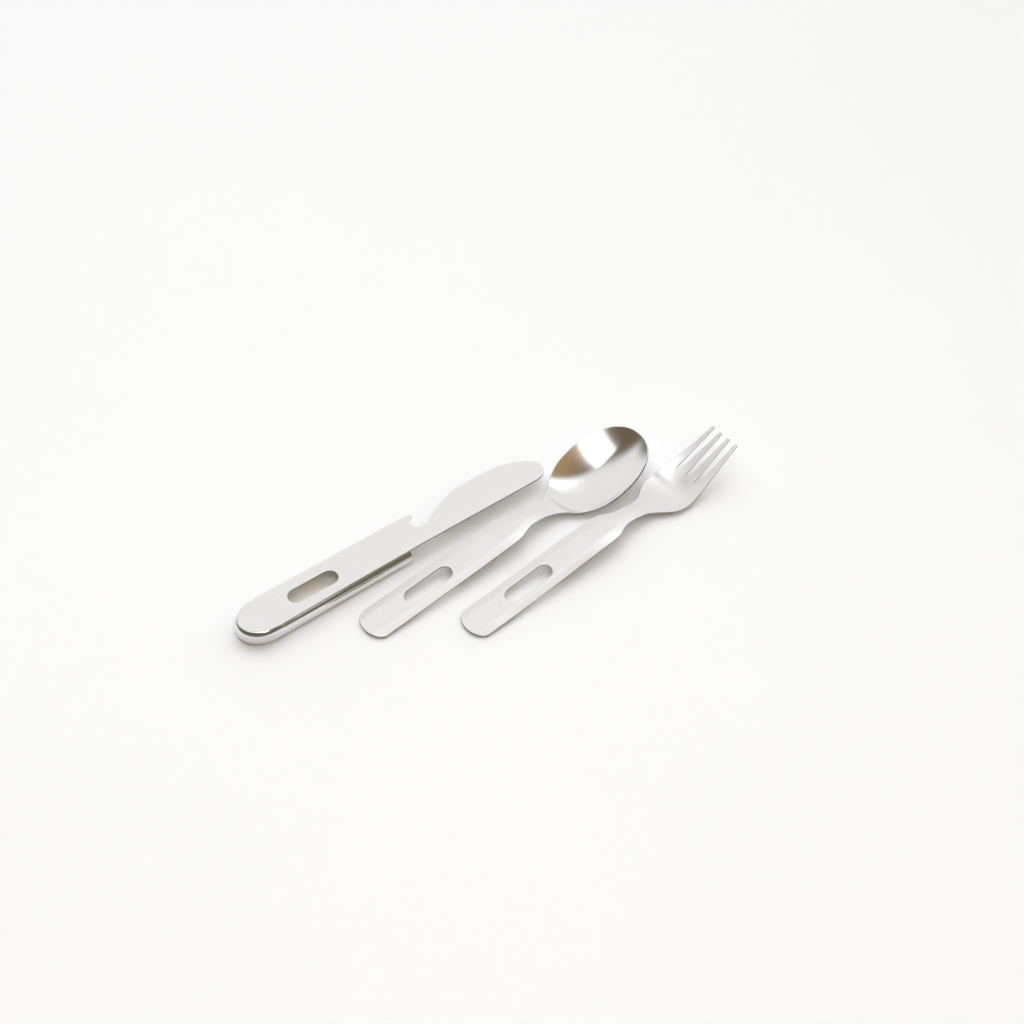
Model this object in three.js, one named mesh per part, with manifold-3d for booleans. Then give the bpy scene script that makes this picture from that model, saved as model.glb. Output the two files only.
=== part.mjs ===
// Picnic cutlery: a knife with a tray-shaped sleeve under its handle, a spoon and a fork.
// Millimetres, +Z up, standing on Z = 0. The knife lies along +X, butt first.
// Each piece is drawn in its own frame: X runs from its butt to its tip and Y across it.
import * as THREE from 'three';
import { mergeVertices } from 'three/addons/utils/BufferGeometryUtils.js';
import Module from 'manifold-3d';

const wasm = await Module();
wasm.setup();

// Hanging slots: centre of the rounded end nearest the butt, then on to the other, and the radius
const KNIFE_SLOT = { start: 34.4, run: 20.6, radius: 4.7 };
const HANDLE_SLOT = { start: 31.9, run: 21.4, radius: 4.5 };

// Knife plate: blade, bottle opener and handle in one flat stamping
const KNIFE_TOP = 9.5;
const PLATE = 1.2;
const KNIFE_ARC = 18; // length of the rounded butt
const BUTT_NEAR = -11.2; // edges of the handle where the rounded butt ends
const BUTT_FAR = 11.6;
const SPINE_START = 130; // where the spine is straight
const SPINE = -9.5;
const FAR_END = 100; // where the far edge turns in to the hook
const HOOK = { x: 114.8, y: 10.4 }; // point of the opener's hook
const NOTCH = { x: 115, y: 0.8 }; // deepest point of the opener's notch
const BELLY = { from: 144, to: 168, y: 11.6 }; // where the blade is deepest
const RAMP = { x: 125, y: 4.7 }; // straight edge from the notch up to the belly
const BLADE_TIP = { x: 191.9, y: -1.5 };

// Sleeve: drawn tray under the knife handle, which holds the other two handles in storage
const SLEEVE_WALL = 0.8;
const SLEEVE_MOUTH = 100.4;
const SLEEVE_ARC = 14.4; // where its rounded end begins
const SLEEVE_NOSE = 16.3; // length of the rounded end
const SLEEVE_HALF = 12.75;
const MOUTH_HALF = 12.1; // half width at the mouth, round a spoon or fork handle inside
const MOUTH_SHIFT = 0.75; // how far the mouth's middle lies to the far side
const SLEEVE_LIP = 7.95; // height of its sides, just under the plate; round the butt it comes up flush
const FOOT_ROUND = 2.5;
const NOSE_CURL = { from: 4.75, inwards: 1.9 }; // wall curls in above a height, by so much at the top
const MOUTH_CURL = { from: 2.5, inwards: 6.4 };
const MOUTH_ROUND = 4.5; // rounded lower corner of the mouth
const CLEARANCE = 0.3;
const ARC_STEPS = 24;

// Spoon and fork: pressed from one sheet, with turned-down handle edges
const SHEET = 1;
const BUTT_ARC = 7.5;
const HANDLE_HALF = 10.4;
const HANDLE_FLAT = 0.45; // share of the half width that stays flat
const FLANGE = 1; // how far the handle's very edge turns down
const FLANGE_WIDTH = 1.6;
const SPOON_LENGTH = 191.1;
const BOWL_CENTRE = 160.5; // where the bowl is widest
const BOWL_HALF = 21.4;
const BOWL_BACK = 30.5; // from there back to the neck
const BOWL_DEPTH = 6.5;
const BOWL_FULLNESS = 2.2; // exponent of the bowl's outline and of its section
const FORK_LENGTH = 184.6;
const TINE_ROOT = 156.9;
const ROOT_PITCH = 7;
const TIP_PITCH = 5.95;
const ROOT_GAP = 1.15; // half width of a gap at its root
const TIP_GAP = 2;
const POINT_GAP = 2.65; // the same past the rounded tine points

// Where the pieces lie: butt position and turn from the knife's direction
const SPOON_PLACE = { x: 53.75, y: -34.5, turn: THREE.MathUtils.degToRad(4) };
const FORK_PLACE = { x: 97.05, y: -65.1, turn: THREE.MathUtils.degToRad(4.45) };

const steel = (name, color, roughness) =>
  new THREE.MeshStandardMaterial({ name, color, roughness, metalness: 1 });
const SATIN = steel('satin_steel', 0xd9d8d4, 0.36);
const BRIGHT = steel('bright_steel', 0xd4d1cb, 0.12);

// Smooth curve through [x, value] knots, flat beyond the first and last
function curve(knots) {
  const slope = (i) => {
    const a = knots[Math.max(i - 1, 0)];
    const b = knots[Math.min(i + 1, knots.length - 1)];
    return (b[1] - a[1]) / (b[0] - a[0]);
  };
  return (x) => {
    if (x <= knots[0][0]) return knots[0][1];
    const i = knots.findIndex((k) => k[0] >= x);
    if (i < 0) return knots.at(-1)[1];
    const [x0, y0] = knots[i - 1];
    const [x1, y1] = knots[i];
    const h = x1 - x0;
    const t = (x - x0) / h;
    const bend = t * (1 - t) * h * ((1 - t) * slope(i - 1) - t * slope(i));
    return y0 + (y1 - y0) * t * t * (3 - 2 * t) + bend;
  };
}

// Closed solid between two grids of points that share their rows and columns
function sheetSolid(top, bottom) {
  const rows = top.length;
  const columns = top[0].length;
  const points = [...top.flat(), ...bottom.flat()];
  const at = (side, i, j) => side * rows * columns + i * columns + j;
  const faces = [];
  const quad = (a, b, c, d) => faces.push(a, b, c, a, c, d);
  for (let i = 0; i < rows - 1; i++) {
    for (let j = 0; j < columns - 1; j++) {
      quad(at(0, i, j), at(0, i + 1, j), at(0, i + 1, j + 1), at(0, i, j + 1));
      quad(at(1, i, j), at(1, i, j + 1), at(1, i + 1, j + 1), at(1, i + 1, j));
    }
    quad(at(0, i, 0), at(1, i, 0), at(1, i + 1, 0), at(0, i + 1, 0));
    const j = columns - 1;
    quad(at(0, i, j), at(0, i + 1, j), at(1, i + 1, j), at(1, i, j));
  }
  const last = rows - 1;
  for (let j = 0; j < columns - 1; j++) {
    quad(at(0, 0, j), at(0, 0, j + 1), at(1, 0, j + 1), at(1, 0, j));
    quad(at(0, last, j), at(1, last, j), at(1, last, j + 1), at(0, last, j + 1));
  }
  const raw = new THREE.BufferGeometry();
  raw.setAttribute('position', new THREE.Float32BufferAttribute(points.flat(), 3));
  raw.setIndex(faces);
  return solid(raw);
}

// Manifold solid of a geometry, with its shared corners merged and its collapsed faces dropped
function solid(geometry) {
  const bare = geometry.clone();
  bare.deleteAttribute('normal');
  bare.deleteAttribute('uv');
  const merged = mergeVertices(bare, 1e-4);
  const index = merged.index.array;
  const kept = [];
  for (let i = 0; i < index.length; i += 3) {
    const [a, b, c] = index.slice(i, i + 3);
    if (a !== b && b !== c && c !== a) kept.push(a, b, c);
  }
  return new wasm.Manifold(new wasm.Mesh({
    numProp: 3,
    vertProperties: new Float32Array(merged.attributes.position.array),
    triVerts: new Uint32Array(kept),
  }));
}

function geometryOf(body) {
  const { vertProperties, triVerts } = body.getMesh();
  const geometry = new THREE.BufferGeometry();
  geometry.setAttribute('position', new THREE.BufferAttribute(vertProperties, 3));
  geometry.setIndex(new THREE.BufferAttribute(triVerts, 1));
  return geometry;
}

// Upright prism of a plan outline between two heights
function prism(shape, bottom, top, curveSegments = 12) {
  const options = { depth: top - bottom, bevelEnabled: false, curveSegments };
  const geometry = new THREE.ExtrudeGeometry(shape, options);
  geometry.translate(0, 0, bottom);
  return solid(geometry);
}

function slotPath(path, { start, run, radius }) {
  path.moveTo(start, -radius);
  path.lineTo(start + run, -radius);
  path.absarc(start + run, 0, radius, -Math.PI / 2, Math.PI / 2, false);
  path.lineTo(start, radius);
  path.absarc(start, 0, radius, Math.PI / 2, Math.PI * 1.5, false);
  return path;
}

const slotCutter = () => prism(slotPath(new THREE.Shape(), HANDLE_SLOT), -SHEET, KNIFE_TOP);

// ---- Knife plate ----
// Ellipse of the knife's butt, from its far side to its near one, a distance outside the plate
function buttArc(outside) {
  const middle = (BUTT_NEAR + BUTT_FAR) / 2;
  const half = (BUTT_FAR - BUTT_NEAR) / 2 + outside;
  return [KNIFE_ARC, middle, KNIFE_ARC + outside, half, Math.PI / 2, Math.PI * 1.5, false];
}

function knifeBlade() {
  const outline = new THREE.Shape();
  outline.moveTo(KNIFE_ARC, BUTT_NEAR);
  outline.bezierCurveTo(KNIFE_ARC + 37, BUTT_NEAR + 0.9, SPINE_START - 37, SPINE, SPINE_START, SPINE);
  outline.lineTo(BLADE_TIP.x - 9, SPINE);
  outline.bezierCurveTo(BLADE_TIP.x - 3, SPINE, BLADE_TIP.x, -6, BLADE_TIP.x, BLADE_TIP.y);
  outline.bezierCurveTo(BLADE_TIP.x, 5, BELLY.to + 8, 11, BELLY.to, 11.3);
  outline.bezierCurveTo(BELLY.to - 6, 12.1, BELLY.from + 6, 12.1, BELLY.from, BELLY.y);
  outline.bezierCurveTo(BELLY.from - 6, 10.8, RAMP.x + 6, RAMP.y + 3.1, RAMP.x, RAMP.y);
  outline.bezierCurveTo(RAMP.x - 4, RAMP.y - 2.1, NOTCH.x + 4, NOTCH.y, NOTCH.x, NOTCH.y);
  outline.bezierCurveTo(NOTCH.x - 4.5, NOTCH.y, NOTCH.x - 6, 4.5, HOOK.x - 3.5, HOOK.y - 2.8);
  outline.lineTo(HOOK.x, HOOK.y);
  outline.bezierCurveTo(HOOK.x - 5, HOOK.y + 0.9, FAR_END + 5, BUTT_FAR, FAR_END, BUTT_FAR);
  outline.lineTo(KNIFE_ARC, BUTT_FAR);
  outline.absellipse(...buttArc(0));
  outline.holes.push(slotPath(new THREE.Path(), KNIFE_SLOT));
  return prism(outline, KNIFE_TOP - PLATE, KNIFE_TOP);
}

// ---- Knife sleeve ----
// One level of the tray: its outline anticlockwise from above, from [height, inset] at its rounded
// end and at its mouth
function sleeveRing(nose, end, mouth) {
  const ring = [[mouth, MOUTH_SHIFT + MOUTH_HALF - end[1], end[0]]];
  for (let k = 0; k <= ARC_STEPS; k++) {
    const angle = Math.PI * (0.5 + k / ARC_STEPS);
    const x = SLEEVE_ARC + (SLEEVE_NOSE - nose[1]) * Math.cos(angle);
    ring.push([x, (SLEEVE_HALF - nose[1]) * Math.sin(angle), nose[0]]);
  }
  ring.push([mouth, MOUTH_SHIFT - MOUTH_HALF + end[1], end[0]]);
  return ring;
}

// Closed solid through a stack of such outlines, from the bottom up
function stack(rings) {
  const count = rings[0].length;
  const faces = [];
  for (let k = 0; k < rings.length - 1; k++) {
    for (let i = 0; i < count; i++) {
      const a = k * count + i;
      const b = k * count + ((i + 1) % count);
      faces.push(a, b, b + count, a, b + count, a + count);
    }
  }
  const top = (rings.length - 1) * count;
  for (let i = 1; i < count - 1; i++) {
    faces.push(0, i + 1, i);
    faces.push(top, top + i, top + i + 1);
  }
  const raw = new THREE.BufferGeometry();
  raw.setAttribute('position', new THREE.Float32BufferAttribute(rings.flat(2), 3));
  raw.setIndex(faces);
  return solid(raw);
}

// [height, inset] levels of a wall that stands inside the sleeve's outer face by a distance:
// rounded foot, upright face, then the top curled inwards
function wallLevels(inside, curl) {
  const foot = FOOT_ROUND - inside;
  const rise = KNIFE_TOP - inside - curl.from;
  const steps = 5;
  const turns = Array.from({ length: steps + 1 }, (_, k) => ((Math.PI / 2) * k) / steps);
  return [
    ...turns.map((a) => [inside + foot * (1 - Math.cos(a)), inside + foot * (1 - Math.sin(a))]),
    ...turns.slice(1).map((a) => [curl.from + rise * Math.sin(a), inside + curl.inwards * (1 - Math.cos(a))]),
  ];
}

function tray(inside, mouth) {
  const nose = wallLevels(inside, NOSE_CURL);
  const end = wallLevels(inside, MOUTH_CURL);
  return stack(nose.map((level, k) => sleeveRing(level, end[k], mouth)));
}

function knifeSleeve() {
  const past = SLEEVE_MOUTH + 1;
  const seat = new THREE.Shape(); // room for the plate, and all there is above the lip along the sides
  seat.moveTo(past, -2 * SLEEVE_HALF);
  seat.lineTo(past, 2 * SLEEVE_HALF);
  seat.lineTo(KNIFE_ARC, 2 * SLEEVE_HALF);
  seat.lineTo(KNIFE_ARC, BUTT_FAR + CLEARANCE);
  seat.absellipse(...buttArc(CLEARANCE));
  seat.lineTo(KNIFE_ARC, -2 * SLEEVE_HALF);
  return tray(0, SLEEVE_MOUTH)
    .subtract(tray(SLEEVE_WALL, past))
    .subtract(prism(seat, SLEEVE_LIP, KNIFE_TOP + 1, ARC_STEPS))
    .subtract(mouthCutter());
}

// Rounds the mouth's lower corners, as seen from the side
function mouthCutter() {
  const corner = new THREE.Shape();
  corner.moveTo(SLEEVE_MOUTH - MOUTH_ROUND, -1);
  corner.lineTo(SLEEVE_MOUTH + 1, -1);
  corner.lineTo(SLEEVE_MOUTH + 1, MOUTH_ROUND);
  corner.lineTo(SLEEVE_MOUTH, MOUTH_ROUND);
  corner.absarc(SLEEVE_MOUTH - MOUTH_ROUND, MOUTH_ROUND, MOUTH_ROUND, 0, -Math.PI / 2, true);
  const width = 4 * SLEEVE_HALF;
  const geometry = new THREE.ExtrudeGeometry(corner, { depth: width, bevelEnabled: false, curveSegments: 6 });
  geometry.rotateX(Math.PI / 2);
  geometry.translate(0, width / 2, 0);
  return solid(geometry);
}

// ---- Pressed sheet, for the spoon and the fork ----
// Solid of a sheet whose upper face is height(x, y) over a strip of half width half(x)
function pressedSheet(stations, columns, half, height) {
  const nudge = 0.05;
  const top = [];
  const bottom = [];
  for (const x of stations) {
    const upper = [];
    const lower = [];
    for (let j = 0; j <= columns; j++) {
      const y = -Math.cos((Math.PI * j) / columns) * half(x);
      const z = height(x, y);
      const across = (height(x, y * (1 - 1e-3) + nudge) - height(x, y * (1 - 1e-3) - nudge)) / (2 * nudge);
      const along = (height(x + nudge, y) - height(x - nudge, y)) / (2 * nudge);
      const normal = new THREE.Vector3(-along, -across, 1).normalize();
      upper.push([x, y, z]);
      lower.push([x - SHEET * normal.x, y - SHEET * normal.y, z - SHEET * normal.z]);
    }
    top.push(upper);
    bottom.push(lower);
  }
  return sheetSolid(top, bottom);
}

// Places along a rounded end, closer together where the outline turns
function roundEnd(from, to, steps) {
  const run = [];
  for (let k = 0; k <= steps; k++) run.push(from + (to - from) * Math.sin((Math.PI / 2) * (k / steps)));
  return run;
}

function evenRun(from, to, step) {
  const steps = Math.round((to - from) / step);
  return Array.from({ length: steps - 1 }, (_, k) => from + ((to - from) * (k + 1)) / steps);
}

// Half width of the rounded butt, then of the given outline
function buttThen(outline) {
  return (x) => {
    if (x >= BUTT_ARC) return outline(x);
    return HANDLE_HALF * Math.sqrt(Math.max(0, 1 - ((BUTT_ARC - x) / BUTT_ARC) ** 2));
  };
}

// How far the sheet dips towards the turned-down edges of a handle
function edgeDrop(x, y, half) {
  const share = Math.abs(y) / Math.max(half(Math.max(x, 1)), 1);
  const past = Math.min(Math.max(0, (share - HANDLE_FLAT) / (1 - HANDLE_FLAT)), 1);
  const round = HANDLE_HALF * (1 - Math.hypot(1 - x / BUTT_ARC, y / HANDLE_HALF));
  const inside = Math.max(0, x < BUTT_ARC ? round : half(x) - Math.abs(y));
  const turned = Math.max(0, 1 - inside / FLANGE_WIDTH);
  return handleDrop(x) * past ** 1.5 + flangeDrop(x) * turned ** 2;
}

const handleDrop = curve([[4, 0.2], [20, 0.7], [94, 0.7], [110, 0.4], [124, 0.3], [130, 0]]);
const flangeDrop = curve([[88, FLANGE], [104, 0.6], [122, 0.4], [130, 0]]);

// ---- Spoon ----
// Distance from the middle of the bowl, as a share of the way to its rim
const bowlRadius = (x, y) => {
  const along = Math.abs(x - BOWL_CENTRE) / (x < BOWL_CENTRE ? BOWL_BACK : SPOON_LENGTH - BOWL_CENTRE);
  const across = Math.abs(y) / BOWL_HALF;
  return (along ** BOWL_FULLNESS + across ** BOWL_FULLNESS) ** (1 / BOWL_FULLNESS);
};

function spoonHalf(x) {
  if (x <= BOWL_CENTRE) return spoonShank(x);
  const along = Math.min(1, (x - BOWL_CENTRE) / (SPOON_LENGTH - BOWL_CENTRE));
  return BOWL_HALF * (1 - along ** BOWL_FULLNESS) ** (1 / BOWL_FULLNESS);
}

const spoonShank = buttThen(curve([
  [BUTT_ARC, HANDLE_HALF], [50, 10.3], [90, 9.9], [97.5, 9.5], [101, 8.7], [104.5, 7.2], [108, 6.1],
  [112.5, 5.7], [120.5, 5.8], [126.5, 6.6], [131.5, 9.1], [136.5, 12.9], [142.5, 16.9], [150.5, 20.1],
  [BOWL_CENTRE, BOWL_HALF],
]));
const spoonSide = curve([
  [0, 1.82], [9.5, 2.8], [29.5, 4.3], [59.5, 6.4], [95.5, 9], [104.5, 9], [113.5, 8.4], [120.5, 7.2],
  [129.5, 4.5], [139.5, 4.85], [193.5, 18.4],
]);

function spoonHeight(x, y) {
  const radius = bowlRadius(x, y);
  const hollow = radius < 1 ? BOWL_DEPTH * (1 - radius ** BOWL_FULLNESS) : 0;
  return spoonSide(x) - hollow - edgeDrop(x, y, spoonHalf);
}

function spoon() {
  const stations = [
    ...roundEnd(BUTT_ARC, 0, 6).reverse(),
    ...evenRun(BUTT_ARC, 98, 5),
    ...evenRun(97, BOWL_CENTRE + 1, 2.2),
    ...roundEnd(BOWL_CENTRE + 1, SPOON_LENGTH, 13),
  ];
  return pressedSheet(stations, 16, spoonHalf, spoonHeight).subtract(slotCutter());
}

// ---- Fork ----
const forkHalf = buttThen(curve([
  [BUTT_ARC, HANDLE_HALF], [50, 10.3], [90, 9.9], [96.5, 9.5], [100.5, 8.7], [103.5, 7.1], [107, 5.8],
  [111.5, 5.3], [118.5, 5.3], [123.5, 5.9], [128.5, 8.1], [132.5, 10.8], [137.5, 13.4], [143.5, 14.5],
  [149.5, 14.3], [156.5, 13.4], [169.5, 11.4], [180.5, 10], [FORK_LENGTH, 9.3],
]));
const forkSide = curve([
  [0, 1.82], [9.5, 2.65], [25.5, 3.5], [59.5, 6.5], [85.5, 9], [103.5, 9.1], [113.5, 8], [120.5, 6.8],
  [130.5, 3.4], [140.5, 1.22], [147.5, 1.47], [156.5, 5.8], [169.5, 11.8], [FORK_LENGTH, 18.9],
]);
const forkDish = curve([[127.5, 0], [139.5, 1.3], [151.5, 1.2], [165.5, 0.3], [171.5, 0]]);

function forkHeight(x, y) {
  const share = Math.min(1, Math.abs(y) / Math.max(1, forkHalf(x)));
  return forkSide(x) + forkDish(x) * share ** 2 - edgeDrop(x, y, forkHalf);
}

// Gap between two tines: round root, sides that follow the tines' taper, flared at their points
function tineGap(side) {
  const root = side * ROOT_PITCH;
  const tip = side * TIP_PITCH;
  const shoulder = FORK_LENGTH - 2.4;
  const gap = new THREE.Shape();
  gap.moveTo(TINE_ROOT, root - ROOT_GAP);
  gap.lineTo(shoulder, tip - TIP_GAP);
  gap.lineTo(FORK_LENGTH, tip - POINT_GAP);
  gap.lineTo(FORK_LENGTH + 2, tip - POINT_GAP);
  gap.lineTo(FORK_LENGTH + 2, tip + POINT_GAP);
  gap.lineTo(FORK_LENGTH, tip + POINT_GAP);
  gap.lineTo(shoulder, tip + TIP_GAP);
  gap.lineTo(TINE_ROOT, root + ROOT_GAP);
  gap.absarc(TINE_ROOT, root, ROOT_GAP, Math.PI / 2, Math.PI * 1.5, false);
  return prism(gap, -1, FORK_LENGTH, 6);
}

function fork() {
  const stations = [
    ...roundEnd(BUTT_ARC, 0, 6).reverse(),
    ...evenRun(BUTT_ARC, 98, 5),
    ...evenRun(97, 152, 2.6),
    ...evenRun(150, FORK_LENGTH + 2, 3),
  ].filter((x) => x < FORK_LENGTH - 0.5).concat(FORK_LENGTH);
  let body = pressedSheet(stations, 12, forkHalf, forkHeight).subtract(slotCutter());
  for (const side of [-1, 0, 1]) body = body.subtract(tineGap(side));
  return body;
}

function node(name, body, material) {
  const mesh = new THREE.Mesh(geometryOf(body), material);
  mesh.name = name;
  return mesh;
}

function placed(mesh, { x, y, turn }) {
  mesh.position.set(x, y, 0);
  mesh.rotation.z = turn;
  return mesh;
}

const cutlery = new THREE.Group();
cutlery.add(
  node('knife_blade', knifeBlade(), SATIN),
  node('knife_sleeve', knifeSleeve(), BRIGHT),
  placed(node('spoon', spoon(), BRIGHT), SPOON_PLACE),
  placed(node('fork', fork(), SATIN), FORK_PLACE),
);

// The origin is at the middle of the whole set's footprint
const box = new THREE.Box3().setFromObject(cutlery, true);
cutlery.position.set(-(box.min.x + box.max.x) / 2, -(box.min.y + box.max.y) / 2, -box.min.z);

export default cutlery;
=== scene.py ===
"""Picnic cutlery on a pale table: knife with its sleeve, spoon and fork, in stainless steel.

Each piece is drawn in millimetres in its own frame, X from its butt to its tip, Y across and Z up,
as the CAD model is, and is then placed in metres on its CAD body.
"""

import math

import bpy
import numpy as np
from mathutils import Matrix, Vector
from mathutils.geometry import delaunay_2d_cdt
from mathutils.kdtree import KDTree


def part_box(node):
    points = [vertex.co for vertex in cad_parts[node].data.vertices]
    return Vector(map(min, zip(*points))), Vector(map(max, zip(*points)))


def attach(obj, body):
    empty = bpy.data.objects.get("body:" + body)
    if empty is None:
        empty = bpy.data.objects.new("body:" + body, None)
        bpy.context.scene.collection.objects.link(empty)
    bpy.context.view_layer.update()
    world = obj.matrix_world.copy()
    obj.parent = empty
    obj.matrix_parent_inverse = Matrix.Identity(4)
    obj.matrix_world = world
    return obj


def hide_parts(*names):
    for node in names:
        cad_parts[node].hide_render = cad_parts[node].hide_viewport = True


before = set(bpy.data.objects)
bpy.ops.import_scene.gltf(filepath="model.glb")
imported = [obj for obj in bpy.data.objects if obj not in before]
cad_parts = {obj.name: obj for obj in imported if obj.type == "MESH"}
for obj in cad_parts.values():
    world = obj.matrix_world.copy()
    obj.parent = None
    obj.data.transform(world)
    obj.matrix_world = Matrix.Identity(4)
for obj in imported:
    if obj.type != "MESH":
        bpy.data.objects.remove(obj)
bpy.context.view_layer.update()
MM = 0.001

# ---------------------------------------------------------------- dimensions, in millimetres
# Hanging slots: centre of the rounded end nearest the butt, then on to the other, and the radius
KNIFE_SLOT = (34.4, 20.6, 4.7)
HANDLE_SLOT = (31.9, 21.4, 4.5)

KNIFE_TOP, PLATE = 9.5, 1.2
KNIFE_ARC, BUTT_NEAR, BUTT_FAR = 18.0, -11.2, 11.6
SPINE_START, SPINE, FAR_END = 130.0, -9.5, 100.0
HOOK = (114.8, 10.4)
NOTCH = (115.0, 0.8)
RAMP = (125.0, 4.7)
BELLY_FROM, BELLY_TO, BELLY_Y = 144.0, 168.0, 11.6
BLADE_TIP = (191.9, -1.5)

SLEEVE_WALL, SLEEVE_MOUTH, MOUTH_HALF, MOUTH_SHIFT = 0.8, 100.4, 12.1, 0.75
SLEEVE_ARC, SLEEVE_NOSE, SLEEVE_HALF = 14.4, 16.3, 12.75
SLEEVE_LIP, FOOT_ROUND, MOUTH_ROUND = 7.95, 2.5, 4.5
# Height where the sleeve's wall starts to curl in and how far its curl would reach at the top
BUTT_CURL_FROM, SIDE_CURL, MOUTH_CURL = 7.2, (4.0, 4.6), (3.2, 7.2)
# Where along X the lip leaves the plate's edge and how far it takes to drop under the plate
LIP_DROP_FROM, LIP_DROP_RUN = 9, 12
# Power of the curl's arc at the butt and how much less it is along the sides
CURL_POWER, CURL_POWER_FALL = 1.43, 0.43
# Gap between the lip and the plate's edge round the butt
SEAM = 0.08

# Sheet of the spoon and the fork, and the radii of the cut edges
SHEET, SHEET_EDGE, PLATE_EDGE = 1.0, 0.3, 0.22
BUTT_ARC, HANDLE_HALF = 7.5, 10.4
BEVEL_WIDTH, BEVEL_POWER = 5.0, 1.1
SPOON_LENGTH, BOWL_CENTRE, BOWL_HALF, BOWL_BACK = 191.1, 160.5, 21.4, 30.5
BOWL_DEPTH, BOWL_FULLNESS = 6.5, 2.2
FORK_LENGTH, TINE_ROOT = 184.6, 156.9
ROOT_PITCH, TIP_PITCH, ROOT_GAP = 7.0, 5.95, 1.15
TINE_TIP_HALF = 1.0

# Where the spoon and the fork lie, from the knife's butt: (x, y, turn in degrees)
SPOON_PLACE = (53.75, -34.5, 4.0)
FORK_PLACE = (97.05, -65.1, 4.45)

# Width of the band of triangles along each cut edge, and how far from it the interior's points start
EDGE_BAND, EDGE_CLEAR = 0.35, 0.45
# Spacing of the rows of points along the handles, and the points in a row
HANDLE_ROWS, HANDLE_COLUMNS = 1.6, 17
# Spacing of the points along the sides of the spoon and the fork
OUTLINE_STEP = 0.6


# ---------------------------------------------------------------- curves and outlines
def curve(knots):
    """Smooth curve through (x, value) knots, flat beyond the first and last."""
    xs = np.array([k[0] for k in knots], float)
    ys = np.array([k[1] for k in knots], float)
    before = np.maximum(np.arange(len(xs)) - 1, 0)
    after = np.minimum(np.arange(len(xs)) + 1, len(xs) - 1)
    slopes = (ys[after] - ys[before]) / (xs[after] - xs[before])

    def value(x):
        x = np.clip(x, xs[0], xs[-1])
        i = np.clip(np.searchsorted(xs, x), 1, len(xs) - 1)
        h = xs[i] - xs[i - 1]
        t = (x - xs[i - 1]) / h
        bend = t * (1 - t) * h * ((1 - t) * slopes[i - 1] - t * slopes[i])
        return ys[i - 1] + (ys[i] - ys[i - 1]) * t * t * (3 - 2 * t) + bend

    return value


def line(a, b, steps):
    """Points from a towards b, without the last."""
    t = np.linspace(0, 1, steps, endpoint=False)[:, None]
    return np.array(a, float) * (1 - t) + np.array(b, float) * t


def bezier(a, b, c, d, steps):
    """Points along a cubic curve from a to d, without the last."""
    t = np.linspace(0, 1, steps, endpoint=False)[:, None]
    a, b, c, d = (np.array(p, float) for p in (a, b, c, d))
    return a * (1 - t) ** 3 + 3 * b * t * (1 - t) ** 2 + 3 * c * t * t * (1 - t) + d * t**3


def arc(centre, radii, start, end, steps):
    """Points round an ellipse from one angle to another, in degrees, without the last."""
    a = np.radians(np.linspace(start, end, steps, endpoint=False))[:, None]
    return np.array(centre, float) + np.hstack([radii[0] * np.cos(a), radii[1] * np.sin(a)])


def even(loop, spacing):
    """The same closed loop with its points about spacing apart, and true to its shape."""
    closed = np.vstack([loop, loop[:1]])
    steps = np.hypot(*np.diff(closed, axis=0).T)
    along = np.concatenate([[0], np.cumsum(steps)])
    at = np.linspace(0, along[-1], int(round(along[-1] / spacing)), endpoint=False)
    return np.stack([np.interp(at, along, closed[:, k]) for k in (0, 1)], 1)


def inside_by(loop, distance):
    """The anticlockwise loop moved inwards by a distance (outwards if it is negative)."""
    ahead = np.roll(loop, -1, 0) - loop
    ahead /= np.linalg.norm(ahead, axis=1)[:, None]
    behind = np.roll(ahead, 1, 0)
    left = np.stack([-(ahead + behind)[:, 1], (ahead + behind)[:, 0]], 1)
    left /= np.linalg.norm(left, axis=1)[:, None]
    turn = np.clip((left * np.stack([-ahead[:, 1], ahead[:, 0]], 1)).sum(1), 0.5, 1)
    moved = loop + left * (distance / turn)[:, None]
    sides = np.roll(loop, -1, 0) - loop
    gap = []
    for p in moved:
        t = np.clip(((p - loop) * sides).sum(1) / (sides**2).sum(1), 0, 1)
        gap.append(np.hypot(*(loop + sides * t[:, None] - p).T).min())
    clear_enough = 0.97 * abs(distance)
    return moved[np.array(gap) > clear_enough]


def slot_loop(start, run, radius):
    """Anticlockwise outline of a slot with round ends."""
    return np.vstack([
        line((start, -radius), (start + run, -radius), 24),
        arc((start + run, 0), (radius, radius), -90, 90, 20),
        line((start + run, radius), (start, radius), 24),
        arc((start, 0), (radius, radius), 90, 270, 20),
    ])


# ---------------------------------------------------------------- meshes
def gradient_normals(points, height):
    """Unit normals of the surface height(x, y) at flat points."""
    nudge = 0.02
    x, y = points[:, 0], points[:, 1]
    along = (height(x + nudge, y) - height(x - nudge, y)) / (2 * nudge)
    across = (height(x, y + nudge) - height(x, y - nudge)) / (2 * nudge)
    normals = np.stack([-along, -across, np.ones(len(x))], 1)
    return normals / np.linalg.norm(normals, axis=1)[:, None]


def boundary_loops(faces):
    """Ordered vertex loops round the open edges of a set of faces."""
    directed = {}
    for face in faces:
        for a, b in zip(face, (*face[1:], face[0])):
            directed[(a, b)] = True
    following = {}
    for a, b in directed:
        if (b, a) not in directed:
            following.setdefault(a, []).append(b)
    loops = []
    while following:
        start = at = next(iter(following))
        loop = []
        while not loop or at != start:
            loop.append(at)
            ahead = following[at].pop()
            if not following[at]:
                del following[at]
            at = ahead
        loops.append(loop)
    return loops


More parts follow.
